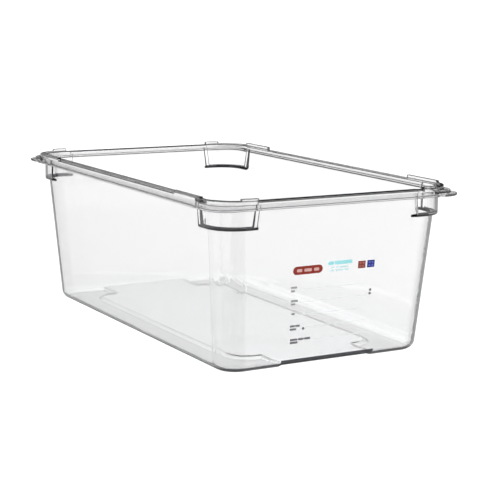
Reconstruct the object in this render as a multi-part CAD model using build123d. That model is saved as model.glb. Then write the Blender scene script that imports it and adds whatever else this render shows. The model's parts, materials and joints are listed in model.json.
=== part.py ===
"""Clear deli food pan: one rigid moulding, with a printed panel on one end wall.

Millimetres. Origin at the centre of the footprint, on the surface that the feet stand on.
+X runs along the pan's length, towards the printed end; +Z is up.
"""
import os
from math import atan2, degrees, hypot

from build123d import *

# ---------------------------------------------------------------- driving dimensions
FLANGE_LENGTH = 530.0          # gastronorm 1/1 footprint
FLANGE_WIDTH = 325.0
FLANGE_CORNER = 25.0
FLANGE_THICKNESS = 2.6
LAND_HEIGHT = 192.0            # the rim's flat top face
WALL = 3.0

WALL_INSET_BASE = 30.9         # outer wall face at the bottom, in from the flange's edge
WALL_INSET_TOP = 14.9          # and level with the rim's top
WALL_CORNER_BASE = 27.0
WALL_CORNER_TOP = 31.0
FOOT_ROUND = 11.5              # outer round between the walls and the feet

LAND_INSET = 5.0               # outer edge of the rim's top face
LAND_CORNER = 46.0
APRON_DROP = 9.0               # the rim's top face down to the underside of the flange

LUG_RISE = 3.5                 # raised lugs beside each corner
LUG_WIDTH = 4.0
CORNER_RIB_RISE = 1.2          # low rib round each corner, between the lugs
LONG_LUG_START = 163.0         # the lugs' ends, measured from the pan's middle
LONG_LUG_END = 221.0
SHORT_LUG_START = 107.0
SHORT_LUG_END = 126.0

PAD_INSET = 4.5                # lower ledge outside the rib, at the corners only
PAD_CORNER = 28.0
PAD_DROP = 3.0

SHOULDER_INSET = 12.8          # stacking shoulders under the rim, at the corners only
SHOULDER_CORNER = 33.0
SHOULDER_BOTTOM = 160.0
SHOULDER_START_X = 204.5       # their ends at the bottom, from the pan's middle
SHOULDER_START_Y = 104.0
SHOULDER_END_LEAN = 4.0        # how much further in each end is at the top

PLATEAU_RISE = 3.5             # raised middle of the floor, between the feet
PLATEAU_HALF_LENGTH = 193.0
PLATEAU_HALF_WIDTH = 95.0
PLATEAU_CORNER = 30.0
PLATEAU_SLOPE = 5.0            # plan width of its sloping edge
PLATEAU_ROUND = 3.0            # softens the top of that slope
CHANNEL_HALF_WIDTH = 62.0      # it runs out under both end walls this wide
CHANNEL_SLOPE = 2.5

FLANGE_ROUND = 1.0             # rounds on the moulding's edges
LAND_ROUND = 1.8
LUG_ROUND = 0.8
OPENING_ROUND = 1.0
SHOULDER_ROUND = 2.0

INK = 0.2                      # thickness of one printed layer

# Printed panel, seen from outside: (across, up) from the middle of the wall's foot.
BADGE = (-34.3, 110.3, 38.0, 9.4)                       # centre, length, height
BADGE_BARS = [(-45.2, 6.6), (-34.3, 9.6), (-23.4, 6.6)]   # centre, length
BADGE_BAR_HEIGHT = 3.4
HEADING_BARS = [(-4.6, 7.2), (11.7, 23.4)]
HEADING_LEVEL = 115.2
HEADING_BAR_HEIGHT = 4.2
CAPTION_ROWS = {                                        # level: bars as (centre, length)
    110.1: [(-2.2, 4.6), (4.4, 3.6), (13.2, 10.4)],
    106.7: [(-2.9, 5.2), (7.0, 10.6), (16.4, 5.4)],
}
CAPTION_BAR_HEIGHT = 1.7
SQUARE_CENTRES = {"red": 36.5, "blue": 48.7}
SQUARE_LEVEL = 110.3
SQUARE_SIZE = (9.8, 8.4)
WINDOW_SIZE = (2.4, 1.7)
WINDOW_PITCH = (4.0, 3.4)
FIELD_ROWS = {
    91.6: [(-50.8, 7.6)],
    87.6: [(-52.1, 5.0)],
    76.4: [(-49.3, 9.0)],
    72.7: [(-50.9, 5.2)],
    61.7: [(-50.0, 4.4)],
    47.6: [(-49.9, 6.4), (-43.2, 6.0)],
    43.9: [(-48.9, 8.2)],
    31.8: [(-47.2, 9.4), (-38.0, 7.4), (-29.6, 8.0)],
    28.5: [(-46.8, 10.0)],
}
FIELD_BAR_HEIGHT = 2.4
DOTS = [(50.4, 79.9), (50.1, 75.8), (-35.7, 43.7)]
DOT_RADIUS = 1.6
WRITE_LINES = {                                         # level: start of the line
    88.6: -43.5,
    74.3: -43.5,
    60.0: -43.5,
    45.2: -33.0,
    30.0: -23.0,
}
WRITE_LINE_END = 46.0
WRITE_LINE_HEIGHT = 0.7
TICKS = {60.0: -34.5, 45.2: -4.7}                       # level: place across
TICK_HEIGHT = 3.6

# ---------------------------------------------------------------- derived dimensions
FLANGE_BOTTOM = LAND_HEIGHT - APRON_DROP
PAD_HEIGHT = LAND_HEIGHT - PAD_DROP
OVERALL_HEIGHT = LAND_HEIGHT + LUG_RISE
DRAFT = (WALL_INSET_BASE - WALL_INSET_TOP) / LAND_HEIGHT
REACH = FLANGE_LENGTH          # larger than anything it has to cut


# ---------------------------------------------------------------- shapes used throughout
def outline(inset, corner, z):
    """Rounded rectangle at height z, a given distance inside the flange's outer edge."""
    shape = RectangleRounded(FLANGE_LENGTH - 2 * inset, FLANGE_WIDTH - 2 * inset, corner)
    return Pos(0, 0, z) * shape


def slab(inset, corner, bottom, top):
    """Straight-sided block on a rounded rectangle."""
    return extrude(outline(inset, corner, bottom), amount=top - bottom)


def lowest_edges(solid):
    return solid.edges().group_by(Axis.Z)[0]


def highest_edges(solid):
    return solid.edges().group_by(Axis.Z)[-1]


def drafted_block(inside_by, bottom, top, bottom_round):
    """The walls' drafted shape, filled, a given distance inside their outer face."""
    sections = []
    for z in (bottom, top):
        corner = WALL_CORNER_BASE + (WALL_CORNER_TOP - WALL_CORNER_BASE) * z / LAND_HEIGHT
        sections.append(outline(WALL_INSET_BASE - DRAFT * z + inside_by, corner - inside_by, z))
    block = loft(sections, ruled=True)
    return fillet(lowest_edges(block), bottom_round)


def four_corners(solid):
    """A solid in the +X +Y corner, repeated in all four."""
    pair = solid + mirror(solid, about=Plane.YZ)
    return pair + mirror(pair, about=Plane.XZ)


def corner_zone(start_x, start_y, bottom, top, lean=0.0):
    """Block outside start_x and start_y; lean moves its two inner faces inwards at the top."""
    sections = []
    for z, shift in ((bottom, 0.0), (top, lean)):
        low_x = start_x - shift
        low_y = start_y - shift
        face = Rectangle(REACH - low_x, REACH - low_y, align=(Align.MIN, Align.MIN))
        sections.append(Pos(low_x, low_y, z) * face)
    return loft(sections, ruled=True)


# ---------------------------------------------------------------- the moulding
def shoulders(inside_by, bottom, top):
    """The four corner shoulders, or further inside, the recesses behind them."""
    block = slab(SHOULDER_INSET + inside_by, SHOULDER_CORNER - inside_by, bottom, top)
    block = fillet(lowest_edges(block), SHOULDER_ROUND)
    start_x = SHOULDER_START_X + inside_by
    start_y = SHOULDER_START_Y + inside_by
    return block & four_corners(corner_zone(start_x, start_y, bottom, top, SHOULDER_END_LEAN))


def plateau(bottom, grow):
    """The floor's raised middle, with the channel that runs out to each end."""
    middle = RectangleRounded(
        2 * (PLATEAU_HALF_LENGTH + grow), 2 * (PLATEAU_HALF_WIDTH + grow), PLATEAU_CORNER + grow
    )
    channel = Rectangle(2 * REACH, 2 * (CHANNEL_HALF_WIDTH + grow))
    level = Pos(0, 0, bottom)
    raised = Part()
    for shape, slope in ((middle, PLATEAU_SLOPE), (channel, CHANNEL_SLOPE)):
        lean = degrees(atan2(slope, PLATEAU_RISE))
        raised += extrude(level * shape, amount=PLATEAU_RISE, taper=lean)
    return fillet(highest_edges(raised), PLATEAU_ROUND)


def cavity():
    """The space inside the pan."""
    above = OVERALL_HEIGHT + WALL
    well = drafted_block(WALL, WALL, above, FOOT_ROUND - WALL)
    well -= plateau(WALL, WALL / 2)
    return well + shoulders(WALL, SHOULDER_BOTTOM + WALL, above)


def raised_ring():
    """Lugs beside each corner, and the low rib that joins them round it."""
    foot = LAND_HEIGHT - WALL
    ring = slab(LAND_INSET, LAND_CORNER, foot, OVERALL_HEIGHT)
    ring -= slab(LAND_INSET + LUG_WIDTH, LAND_CORNER - LUG_WIDTH, foot, OVERALL_HEIGHT)
    rib = corner_zone(LONG_LUG_START, SHORT_LUG_START, foot, LAND_HEIGHT + CORNER_RIB_RISE)
    corner = (Align.MIN, Align.MIN, Align.MIN)
    long_lug = Box(LONG_LUG_END - LONG_LUG_START, REACH, OVERALL_HEIGHT, align=corner)
    short_lug = Box(REACH, SHORT_LUG_END - SHORT_LUG_START, OVERALL_HEIGHT, align=corner)
    blocks = rib + Pos(LONG_LUG_START, 0, 0) * long_lug + Pos(0, SHORT_LUG_START, 0) * short_lug
    raised = ring & four_corners(blocks)
    return fillet(highest_edges(raised), LUG_ROUND)


def rim():
    """Flat top, apron, flange, corner pads and raised lugs, hollow underneath."""
    land = slab(LAND_INSET, LAND_CORNER, FLANGE_BOTTOM, LAND_HEIGHT)
    land = fillet(highest_edges(land), LAND_ROUND)
    flange = slab(0.0, FLANGE_CORNER, FLANGE_BOTTOM, FLANGE_BOTTOM + FLANGE_THICKNESS)
    flange = fillet(lowest_edges(flange) + highest_edges(flange), FLANGE_ROUND)
    pads = slab(PAD_INSET, PAD_CORNER, FLANGE_BOTTOM, PAD_HEIGHT)
    pads = fillet(highest_edges(pads), LUG_ROUND)
    pads &= four_corners(corner_zone(LONG_LUG_END, SHORT_LUG_START, FLANGE_BOTTOM, PAD_HEIGHT))

    under_land = slab(LAND_INSET + WALL, LAND_CORNER - WALL, 0, LAND_HEIGHT - WALL)
    under_pads = slab(PAD_INSET + WALL, PAD_CORNER - WALL, 0, PAD_HEIGHT - WALL)
    pad_zone = corner_zone(LONG_LUG_END + WALL, SHORT_LUG_START + WALL, 0, PAD_HEIGHT)
    under_pads &= four_corners(pad_zone)
    return land + flange + pads + raised_ring() - under_land - under_pads


def opening_edges(solid):
    """The edges where the rim's top face meets the inside of the walls."""
    wall_zone = (FLANGE_LENGTH / 2 - WALL_INSET_TOP, FLANGE_WIDTH / 2 - WALL_INSET_TOP)
    edges = []
    for edge in solid.edges():
        box = edge.bounding_box()
        level = abs(box.min.Z - LAND_HEIGHT) < 0.01 and abs(box.max.Z - LAND_HEIGHT) < 0.01
        middle = edge.center()
        if level and abs(middle.X) < wall_zone[0] and abs(middle.Y) < wall_zone[1]:
            edges.append(edge)
    return edges


def pan_body():
    outside = drafted_block(0.0, 0.0, LAND_HEIGHT, FOOT_ROUND)
    outside += shoulders(0.0, SHOULDER_BOTTOM, LAND_HEIGHT)
    outside -= plateau(0.0, 0.0)
    body = outside + rim() - cavity()
    return fillet(opening_edges(body), OPENING_ROUND)


# ---------------------------------------------------------------- the printed panel
END_WALL = Plane(
    origin=(FLANGE_LENGTH / 2 - WALL_INSET_BASE, 0, 0), x_dir=(0, 1, 0), z_dir=(1, 0, -DRAFT)
)


def printed(shape, across, up, layer=0):
    """A flat shape printed on the end wall; layer 1 lies on top of layer 0."""
    along_wall = up * hypot(1, DRAFT)
    return extrude(END_WALL * Pos(across, along_wall, layer * INK) * shape, amount=INK)


def printed_bars(rows, height, layer=0):
    """Plain bars in level rows, given as {level: [(centre, length), ...]}."""
    bars = Part()
    for level, row in rows.items():
        for across, length in row:
            bar = RectangleRounded(length, height, height / 3)
            bars += printed(bar, across, level, layer)
    return bars


def print_badge():
    across, up, length, height = BADGE
    return printed(SlotOverall(length, height), across, up)


def print_square(colour):
    return printed(Rectangle(*SQUARE_SIZE), SQUARE_CENTRES[colour], SQUARE_LEVEL)


def print_square_windows():
    """Two rows of two small pale panes on each coloured square."""
    panes = Part()
    for across in SQUARE_CENTRES.values():
        for offset in GridLocations(*WINDOW_PITCH, 2, 2):
            place = offset.position
            pane = Rectangle(*WINDOW_SIZE)
            panes += printed(pane, across + place.X, SQUARE_LEVEL + place.Y, layer=1)
    return panes


def print_dots():
    dots = Part()
    for across, up in DOTS:
        dots += printed(Circle(DOT_RADIUS), across, up)
    return dots


def print_write_lines():
    """Rules to write on, two of them with an upright divider."""
    lines = Part()
    for level, start in WRITE_LINES.items():
        rule = Rectangle(WRITE_LINE_END - start, WRITE_LINE_HEIGHT)
        lines += printed(rule, (start + WRITE_LINE_END) / 2, level)
    for level, across in TICKS.items():
        tick = Rectangle(WRITE_LINE_HEIGHT, TICK_HEIGHT)
        lines += printed(tick, across, level + TICK_HEIGHT / 2)
    return lines


NODES = {
    "pan_body": pan_body(),
    "print_badge": print_badge(),
    "print_badge_bars": printed_bars({BADGE[1]: BADGE_BARS}, BADGE_BAR_HEIGHT, layer=1),
    "print_heading_bars": printed_bars({HEADING_LEVEL: HEADING_BARS}, HEADING_BAR_HEIGHT),
    "print_caption_bars": printed_bars(CAPTION_ROWS, CAPTION_BAR_HEIGHT),
    "print_square_red": print_square("red"),
    "print_square_blue": print_square("blue"),
    "print_square_windows": print_square_windows(),
    "print_field_bars": printed_bars(FIELD_ROWS, FIELD_BAR_HEIGHT),
    "print_dots": print_dots(),
    "print_write_lines": print_write_lines(),
}

os.makedirs("parts", exist_ok=True)
for name, solid in NODES.items():
    solid.label = name
    export_step(solid, f"parts/{name}.step")
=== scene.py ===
"""Clear polycarbonate deli food pan, 530 x 325 mm, standing on a plain pale floor."""
import json
import math

import bpy
from mathutils import Matrix, Vector

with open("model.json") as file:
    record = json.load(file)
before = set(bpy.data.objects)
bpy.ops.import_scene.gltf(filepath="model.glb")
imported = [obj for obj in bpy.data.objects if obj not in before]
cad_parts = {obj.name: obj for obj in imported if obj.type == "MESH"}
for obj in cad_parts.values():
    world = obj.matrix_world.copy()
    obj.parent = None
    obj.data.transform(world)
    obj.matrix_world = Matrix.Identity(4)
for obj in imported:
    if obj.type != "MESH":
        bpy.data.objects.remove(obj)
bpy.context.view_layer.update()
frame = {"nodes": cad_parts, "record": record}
scene = bpy.context.scene
scene.view_settings.view_transform = "Standard"


# ---------------------------------------------------------------- node helpers
class Tree:
    """A material's or world's node tree, with short calls to add and join nodes."""

    def __init__(self, owner):
        owner.use_nodes = True
        self.nodes = owner.node_tree.nodes
        self.links = owner.node_tree.links
        self.nodes.clear()

    def add(self, kind, inputs=None, **settings):
        node = self.nodes.new("ShaderNode" + kind)
        for name, value in settings.items():
            setattr(node, name, value)
        for key, value in (inputs or {}).items():
            if isinstance(value, bpy.types.NodeSocket):
                self.links.new(value, node.inputs[key])
            else:
                node.inputs[key].default_value = value
        return node

    def noise(self, where, scale, detail=3.0, roughness=0.5):
        node = self.add("TexNoise", {"Vector": where, "Scale": scale, "Detail": detail,
                                     "Roughness": roughness})
        return node.outputs["Fac"]

    def spread(self, value, low, high, to_low, to_high):
        node = self.add("MapRange", {"Value": value, "From Min": low, "From Max": high,
                                     "To Min": to_low, "To Max": to_high})
        return node.outputs["Result"]

    def maths(self, operation, first, second=0.0):
        return self.add("Math", {0: first, 1: second}, operation=operation).outputs[0]

    def product(self, *values):
        total = values[0]
        for value in values[1:]:
            total = self.maths("MULTIPLY", total, value)
        return total

    def opposite(self, value):
        return self.maths("SUBTRACT", 1.0, value)

    def blend(self, factor, first, second):
        """Colour between two plain colours, or sockets, by a factor socket."""
        node = self.add("Mix", data_type="RGBA")
        factors = [s for s in node.inputs if s.name == "Factor" and s.type == "VALUE"]
        self.links.new(factor, factors[0])
        for socket, colour in zip([s for s in node.inputs if s.type == "RGBA"], (first, second)):
            if isinstance(colour, bpy.types.NodeSocket):
                self.links.new(colour, socket)
            else:
                socket.default_value = (*colour, 1)
        return [s for s in node.outputs if s.type == "RGBA"][0]

    def mirrored_share(self, once, more, off_surface):
        """1 for light that comes straight, less for light that a mirror or a bend inside the
        plastic turned round, once or more: a share for painted shade, as the room beside the lit
        backdrop is darker."""
        path = self.add("LightPath").outputs
        turned = self.maths("GREATER_THAN", path["Glossy Depth"], 0.5)
        inside = self.spread(path["Glossy Depth"], 1.0, 2.0, once, more)
        outside = self.add("Mix", {0: path["Is Reflection Ray"], 2: inside, 3: off_surface})
        return self.opposite(self.product(turned, self.opposite(outside.outputs[0])))


# ---------------------------------------------------------------- materials
def scratches(tree, where, turn, density):
    """Thin, nearly straight hairlines: 1 on a line and 0 beside it."""
    turned = tree.add("Mapping", {"Vector": where, "Rotation": turn, "Scale": (1, 14, 14)})
    lines = tree.noise(turned.outputs[0], 34, 2.0, 0.4)
    hair = tree.spread(lines, 0.497, 0.5, 0.0, 1.0)
    other = tree.spread(lines, 0.5, 0.503, 1.0, 0.0)
    patches = tree.spread(tree.noise(where, 11, 2.0), density, density + 0.1, 0.0, 1.0)
    return tree.product(hair, other, patches)


# Places on the pan, in metres from its centre and from the surface it stands on.
FOOT_CONTACT = 0.0006               # the textured faces that the pan stands on reach this high
SLOPE_TOP = (0.0062, 0.0067)        # top of the slope round the floor's raised middle
HEEL_LEVEL = (0.009, 0.015)         # the hollow round inside, between the floor and the walls
RIM_LEVEL = (0.1812, 0.1842)        # plastic above this is the rim's, which gets painted shade
TOP_FACE = (0.1900, 0.1936)         # the rim's top face
END_START = (0.2205, 0.2215)        # it is over the thick end aprons from here outwards
SHOULDER_LEVEL = (0.1597, 0.1626)   # the corner shoulders' shelves, seen edge on
SHOULDER_START = (0.2005, 0.1)
BASE_LEVEL = (0.005, 0.010)         # the outer round between the walls and the feet
CHANNEL_MOUTH = (0.2285, 0.0612)    # where the raised floor runs out under the end walls
CHANNEL_LEVEL = (0.0026, 0.0092)

# Limits on the upward part of a surface's normal: 1 is level, 0 upright, -1 an underside.
FACES_UP = (0.2, 0.5)
FACES_DOWN = (-0.55, -0.25)
FACES_OUT = (0.0, 0.1)
HEEL_TURN = (0.02, 0.25)
SLOPE_TURN = (0.6, 0.985)
ROUND_START, ROUND_END = (0.15, 0.32), (0.86, 0.97)
NEARLY_LEVEL = (0.75, 0.95)

EDGE_PAINTED_SHADE = (0.002, 0.002, 0.003)   # near-black painted shade, for surfaces looked along and for the placed dark lines
ROUND_SHARE = 0.965                 # the painted shade on the rim's small rounds is this strong, leaving a little light
GRAZING = (0.62, 0.93)              # Facing where a surface is looked along, not through
RIM_GRAZING = (0.45, 0.75)          # the same for the rim's top face
CLEAR_TINTS = (0.944, 0.944, 0.946), (0.928, 0.928, 0.931)
# share of the tint kept under painted shade: at the rounded corners, the rim, the faces the pan
# stands on and the hollow inside
CORNER_PAINTED_SHADE, RIM_PAINTED_SHADE, FOOT_PAINTED_SHADE, HEEL_PAINTED_SHADE = 0.93, 0.92, 0.58, 0.95
FOOT_SANDING, SLOPE_SANDING, SCRATCH_ROUGHNESS = 0.42, 0.3, 0.14
PASSING_LIGHT = (0.965, 0.97, 0.97, 1)   # for shadows and for light from the walls around
POLYCARBONATE_IOR = 1.585


def between(tree, value, low, high, soft=0.0002):
    """1 where a value lies between two limits, fading out just beyond them."""
    above = tree.spread(value, low - soft, low, 0.0, 1.0)
    return tree.product(above, tree.spread(value, high, high + soft, 1.0, 0.0))


def painted_edge_lines(tree, where, up, facing):
    """1 where painted shade draws dark lines: round the plastic's edges, along its shelves, on
    the rim's ends, round its base and at the channel mouths. It takes the place on the surface,
    the upward part of its normal and its Facing."""
    height = tree.add("SeparateXYZ", {0: where}).outputs["Z"]
    place = tree.add("VectorMath", {0: where}, operation="ABSOLUTE").outputs[0]
    axis = tree.add("SeparateXYZ", {0: place}).outputs
    level = tree.maths("ABSOLUTE", up)

    # Painted dark lines: on the rim's ends seen low, along the outer round at the base, and at
    # the channel mouths under the end walls.
    ends = tree.product(tree.spread(axis["X"], *END_START, 0.0, 1.0),
                        tree.spread(up, *FACES_UP, 0.0, 1.0),
                        between(tree, height, *TOP_FACE),
                        tree.spread(facing, *RIM_GRAZING, 0.0, 1.0))
    base = tree.product(tree.spread(height, *BASE_LEVEL, 1.0, 0.0),
                        tree.spread(up, *FACES_DOWN, 1.0, 0.0))
    mouth = tree.product(tree.maths("GREATER_THAN", axis["X"], CHANNEL_MOUTH[0]),
                         tree.maths("LESS_THAN", axis["Y"], CHANNEL_MOUTH[1]),
                         between(tree, height, *CHANNEL_LEVEL),
                         tree.spread(up, *FACES_OUT, 1.0, 0.0))
    outer = tree.maths("MAXIMUM", ends, tree.maths("MAXIMUM", base, mouth))
    entering = tree.opposite(tree.add("NewGeometry").outputs["Backfacing"])
    outer = tree.product(outer, entering)

    # Painted dark lines on the rim's small rounds and along the corner shoulders' shelves.
    rounded = tree.product(tree.spread(level, *ROUND_START, 0.0, 1.0),
                           tree.spread(level, *ROUND_END, 1.0, 0.0),
                           tree.spread(height, *RIM_LEVEL, 0.0, ROUND_SHARE))
    shelf = tree.product(tree.maths("GREATER_THAN", axis["X"], SHOULDER_START[0]),
                         tree.maths("GREATER_THAN", axis["Y"], SHOULDER_START[1]),
                         between(tree, height, *SHOULDER_LEVEL))
    return tree.maths("MAXIMUM", outer, tree.maths("MAXIMUM", rounded, shelf))


def clear_plastic():
    """Clear moulding with painted shade: its tint is darker at the corners, the rim, the feet
    and the hollow inside, and near-black on surfaces looked along and on lines round its edges,
    shelves, base and channel mouths; with fine hairlines, faint flow waves, and a sanded texture
    under the feet and on the floor's slope."""
    material = bpy.data.materials.new("clear_polycarbonate")
    tree = Tree(material)
    where = tree.add("TexCoord").outputs["Object"]
    normal = tree.add("SeparateXYZ", {0: tree.add("NewGeometry").outputs["Normal"]}).outputs
    up = normal["Z"]
    height = tree.add("SeparateXYZ", {0: where}).outputs["Z"]
    sideways = [tree.maths("ABSOLUTE", normal[axis]) for axis in ("X", "Y")]

    corner = tree.spread(tree.maths("MINIMUM", *sideways), 0.02, 0.14, 0.0, 1.0)
    rim = tree.spread(height, *RIM_LEVEL, 0.0, 1.0)
    foot = tree.spread(height, 0.0, FOOT_CONTACT, 1.0, 0.0)
    slope = tree.product(between(tree, tree.maths("ABSOLUTE", up), *SLOPE_TURN, soft=0.01),
                         tree.spread(height, *SLOPE_TOP, 1.0, 0.0))
    heel = tree.product(tree.spread(height, *HEEL_LEVEL, 1.0, 0.0),
                        tree.spread(up, *HEEL_TURN, 0.0, 1.0))
    facing = tree.add("LayerWeight", {"Blend": 0.5}).outputs["Facing"]
    # Painted shade: surfaces looked along, and the placed lines round the edges, shelves, base
    # and channel mouths, go near-black.
    edge = tree.product(tree.spread(facing, *GRAZING, 0.0, 1.0),
                        tree.spread(up, *NEARLY_LEVEL, 1.0, 0.0))
    edge = tree.maths("MAXIMUM", edge, painted_edge_lines(tree, where, up, facing))

    flow = tree.noise(where, 9)
    haze = tree.spread(tree.noise(where, 21, 4.0), 0.35, 0.75, 0.012, 0.05)
    lines = tree.maths("ADD", scratches(tree, where, (0.3, 0.2, 0.4), 0.56),
                       scratches(tree, where, (1.2, 0.5, 1.9), 0.6))
    sanded = tree.maths("MAXIMUM", tree.product(foot, FOOT_SANDING),
                        tree.product(slope, SLOPE_SANDING))
    roughness = tree.maths("ADD", haze, tree.product(lines, SCRATCH_ROUGHNESS))
    roughness = tree.maths("ADD", roughness, sanded)
    waves = tree.add("Bump", {"Height": flow, "Strength": 0.05, "Distance": 0.002})
    marks = tree.add("Bump", {"Height": lines, "Strength": 0.04, "Distance": 0.0002,
                              "Normal": waves.outputs[0]}, invert=True)

    tint = tree.blend(tree.noise(where, 5, 2.0), *CLEAR_TINTS)
    # Painted shade: the tint is darker at the rounded corners, the rim, the faces the pan stands
    # on and the hollow round inside.
    painted_shades = (corner, CORNER_PAINTED_SHADE), (rim, RIM_PAINTED_SHADE), (foot, FOOT_PAINTED_SHADE), (heel, HEEL_PAINTED_SHADE)
    for share, shade in painted_shades:
        kept = tree.opposite(tree.product(share, 1 - shade))
        tint = tree.add("VectorMath", {0: tint, "Scale": kept}, operation="SCALE").outputs[0]
    # the painted shade goes into the base colour here
    tint = tree.blend(edge, tint, EDGE_PAINTED_SHADE)

    shell = tree.add("BsdfPrincipled", {
        "Base Color": tint,
        "Roughness": roughness,
        "IOR": POLYCARBONATE_IOR,
        "Transmission Weight": 1.0,
        "Normal": marks.outputs[0],
    })
    path = tree.add("LightPath")
    passing = tree.add("BsdfTransparent", {"Color": PASSING_LIGHT})
    fill = tree.add("MixShader", {0: path.outputs["Is Diffuse Ray"], 1: shell.outputs[0],
                                  2: passing.outputs[0]})
    lamps = tree.add("MixShader", {0: path.outputs["Is Shadow Ray"], 1: fill.outputs[0],
                                   2: passing.outputs[0]})
    tree.add("OutputMaterial", {"Surface": lamps.outputs[0]})
    return material


def ink(name, colour, thin_colour, across=None, beyond=None, roughness=0.42):
    """Screen-printed ink: a little mottled, thinner in places, with a fine grain. across is
    an axis and two places on it, between which the ink changes to the colours in beyond."""
    material = bpy.data.materials.new(name)
    tree = Tree(material)
    where = tree.add("TexCoord").outputs["Object"]
    mottle = tree.spread(tree.noise(where, 420, 4.0, 0.6), 0.3, 0.75, 0.0, 1.0)
    shade = tree.blend(mottle, colour, thin_colour)
    if across:
        axis, start, end = across
        place = tree.add("SeparateXYZ", {0: where}).outputs[axis]
        change = tree.spread(place, start, end, 0.0, 1.0)
        shade = tree.blend(change, shade, tree.blend(mottle, *beyond))
    grain = tree.noise(where, 2600, 2.0)
    rough = tree.spread(tree.noise(where, 700, 3.0), 0.3, 0.7, roughness - 0.1, roughness + 0.15)
    bump = tree.add("Bump", {"Height": grain, "Strength": 0.12, "Distance": 0.00005})
    body = tree.add("BsdfPrincipled", {
        "Base Color": shade,
        "Roughness": rough,
        "IOR": 1.5,
        "Specular IOR Level": 0.25,
        "Normal": bump.outputs[0],
    })
    tree.add("OutputMaterial", {"Surface": body.outputs[0]})
    return material


INKS = {
    "ink_dark_red": ink("ink_dark_red", (0.20, 0.012, 0.006), (0.28, 0.035, 0.024)),
    "ink_brown_red": ink("ink_brown_red", (0.17, 0.020, 0.012), (0.26, 0.05, 0.035)),
    "ink_navy": ink("ink_navy", (0.008, 0.012, 0.15), (0.025, 0.035, 0.25)),
    "ink_cyan": ink("ink_cyan", (0.25, 0.63, 0.66), (0.36, 0.71, 0.74)),
    "ink_pale_cyan": ink("ink_pale_cyan", (0.44, 0.67, 0.70), (0.56, 0.76, 0.78)),
    "ink_white": ink("ink_white", (0.68, 0.44, 0.42), (0.50, 0.25, 0.22)),
    "ink_grey": ink("ink_grey", (0.13, 0.13, 0.14), (0.22, 0.22, 0.23)),
    "ink_pale_grey": ink("ink_pale_grey", (0.66, 0.68, 0.70), (0.76, 0.78, 0.79)),
}
BETWEEN_SQUARES = ("Y", 0.0425, 0.0427)   # from the red square's panes to the blue one's
UP_THE_FIELDS = ("Z", 0.035, 0.085)       # the upper rows are printed thinner
NODE_INKS = {
    "print_square_windows": ink("ink_panes", (0.36, 0.10, 0.08), (0.44, 0.17, 0.14),
                                BETWEEN_SQUARES, ((0.10, 0.13, 0.52), (0.16, 0.20, 0.60))),
    "print_field_bars": ink("ink_field_rows", (0.10, 0.10, 0.11), (0.17, 0.17, 0.18),
                            UP_THE_FIELDS, ((0.26, 0.26, 0.27), (0.38, 0.38, 0.39))),
}
PLASTIC = clear_plastic()
SLOTS = {part["node"]: part["material_slot"] for part in frame["record"]["subparts"]}

for name, node in frame["nodes"].items():
    node.material_slots[0].material = NODE_INKS.get(name) or INKS.get(SLOTS[name], PLASTIC)


# ---------------------------------------------------------------- floor and light
FLOOR_REACH = 80.0
FLOOR_GAP = 0.0004
FLOOR_SHARES = (0.3, 0.06, 0.6)     # painted shade on the floor: share of its colour kept for light turned once inside, turned more, mirrored off a surface
TENT_START, TENT_FULL = 0.15, 0.46  # height in the sky, from the dark gap to the full light
GAP_TONE = 0.02
BEYOND_TONE = 0.68                  # for light that was mirrored once inside the plastic
STUDIO_STRENGTH = 1.68


def floor():
    """A pale paper sheet, just clear of the feet, with painted shade: it goes towards black for
    light the plastic has turned round.
    """
    mesh = bpy.data.meshes.new("floor")
    turns = ((-1, -1), (1, -1), (1, 1), (-1, 1))
    corners = [(x * FLOOR_REACH, y * FLOOR_REACH, -FLOOR_GAP) for x, y in turns]
    mesh.from_pydata(corners, [], [(0, 1, 2, 3)])
    ground = bpy.data.objects.new("floor", mesh)
    scene.collection.objects.link(ground)
    material = bpy.data.materials.new("floor_paper")
    tree = Tree(material)
    where = tree.add("TexCoord").outputs["Object"]
    tone = tree.blend(tree.noise(where, 3, 2.0), (0.90, 0.90, 0.90), (0.93, 0.93, 0.93))
    rough = tree.spread(tree.noise(where, 60, 3.0), 0.3, 0.7, 0.85, 0.95)
    # Painted shade: the floor's colour goes towards black for light that the plastic turned
    # round, standing in for a darker room.
    seen = tree.blend(tree.mirrored_share(*FLOOR_SHARES), (0.0, 0.0, 0.0), tone)
    sheet = tree.add("BsdfDiffuse", {"Color": seen, "Roughness": rough})
    tree.add("OutputMaterial", {"Surface": sheet.outputs[0]})
    mesh.materials.append(material)


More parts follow.
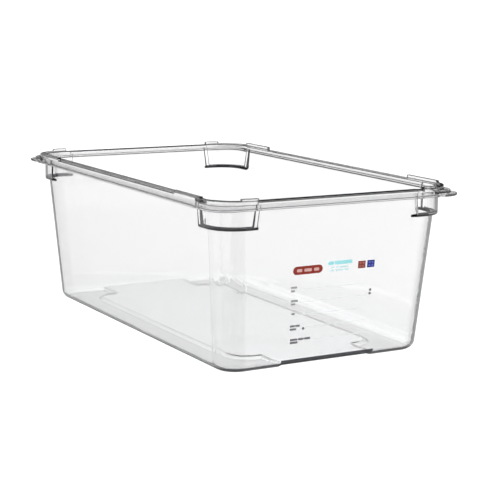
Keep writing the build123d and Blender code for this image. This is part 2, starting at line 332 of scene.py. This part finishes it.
def studio():
    """A bright tent of light overhead, with a dark gap round the horizon that draws edges.
    Seen directly, the gap is a white backdrop."""
    world = bpy.data.worlds.new("studio")
    scene.world = world
    tree = Tree(world)
    direction = tree.add("TexCoord").outputs["Generated"]
    height = tree.add("SeparateXYZ", {0: direction}).outputs["Z"]
    ramp = tree.add("ValToRGB", {0: height})
    stops = zip(ramp.color_ramp.elements, (TENT_START, TENT_FULL), (GAP_TONE, 1.0))
    for stop, position, tone in stops:
        stop.position = position
        stop.color = (tone, tone, tone, 1)
    path = tree.add("LightPath").outputs
    once = tree.maths("COMPARE", path["Glossy Depth"], 1.0)
    beyond = tree.product(once, path["Is Transmission Ray"])
    colour = tree.blend(beyond, ramp.outputs[0], (BEYOND_TONE,) * 3)
    backdrop = tree.blend(path["Is Camera Ray"], colour, (1.0, 1.0, 1.0))
    light = tree.add("Background", {"Color": backdrop, "Strength": STUDIO_STRENGTH})
    tree.add("OutputWorld", {"Surface": light.outputs[0]})


# ---------------------------------------------------------------- camera
CAMERA_TURNS = (59.89, 10.3, 0.75)       # azimuth, elevation and roll, in degrees
CAMERA_PLACE = (1.5424, -0.86107, 0.41098)
CAMERA_LENS, CAMERA_SENSOR = 103.57, 36.0
CAMERA_REACH = 300.0                     # past the far corners of the floor


def camera():
    azimuth, elevation, roll = (math.radians(angle) for angle in CAMERA_TURNS)
    back = Vector((math.sin(azimuth) * math.cos(elevation),
                   -math.cos(azimuth) * math.cos(elevation), math.sin(elevation)))
    level = Vector((math.cos(azimuth), math.sin(azimuth), 0))
    upright = back.cross(level)
    right = level * math.cos(roll) + upright * math.sin(roll)
    up = upright * math.cos(roll) - level * math.sin(roll)
    lens = bpy.data.cameras.new("camera")
    lens.sensor_width = CAMERA_SENSOR
    lens.lens = CAMERA_LENS
    lens.clip_end = CAMERA_REACH
    holder = bpy.data.objects.new("camera", lens)
    scene.collection.objects.link(holder)
    turn = Matrix((right, up, back)).transposed().to_4x4()
    holder.matrix_world = Matrix.Translation(CAMERA_PLACE) @ turn
    scene.camera = holder


floor()
studio()
camera()
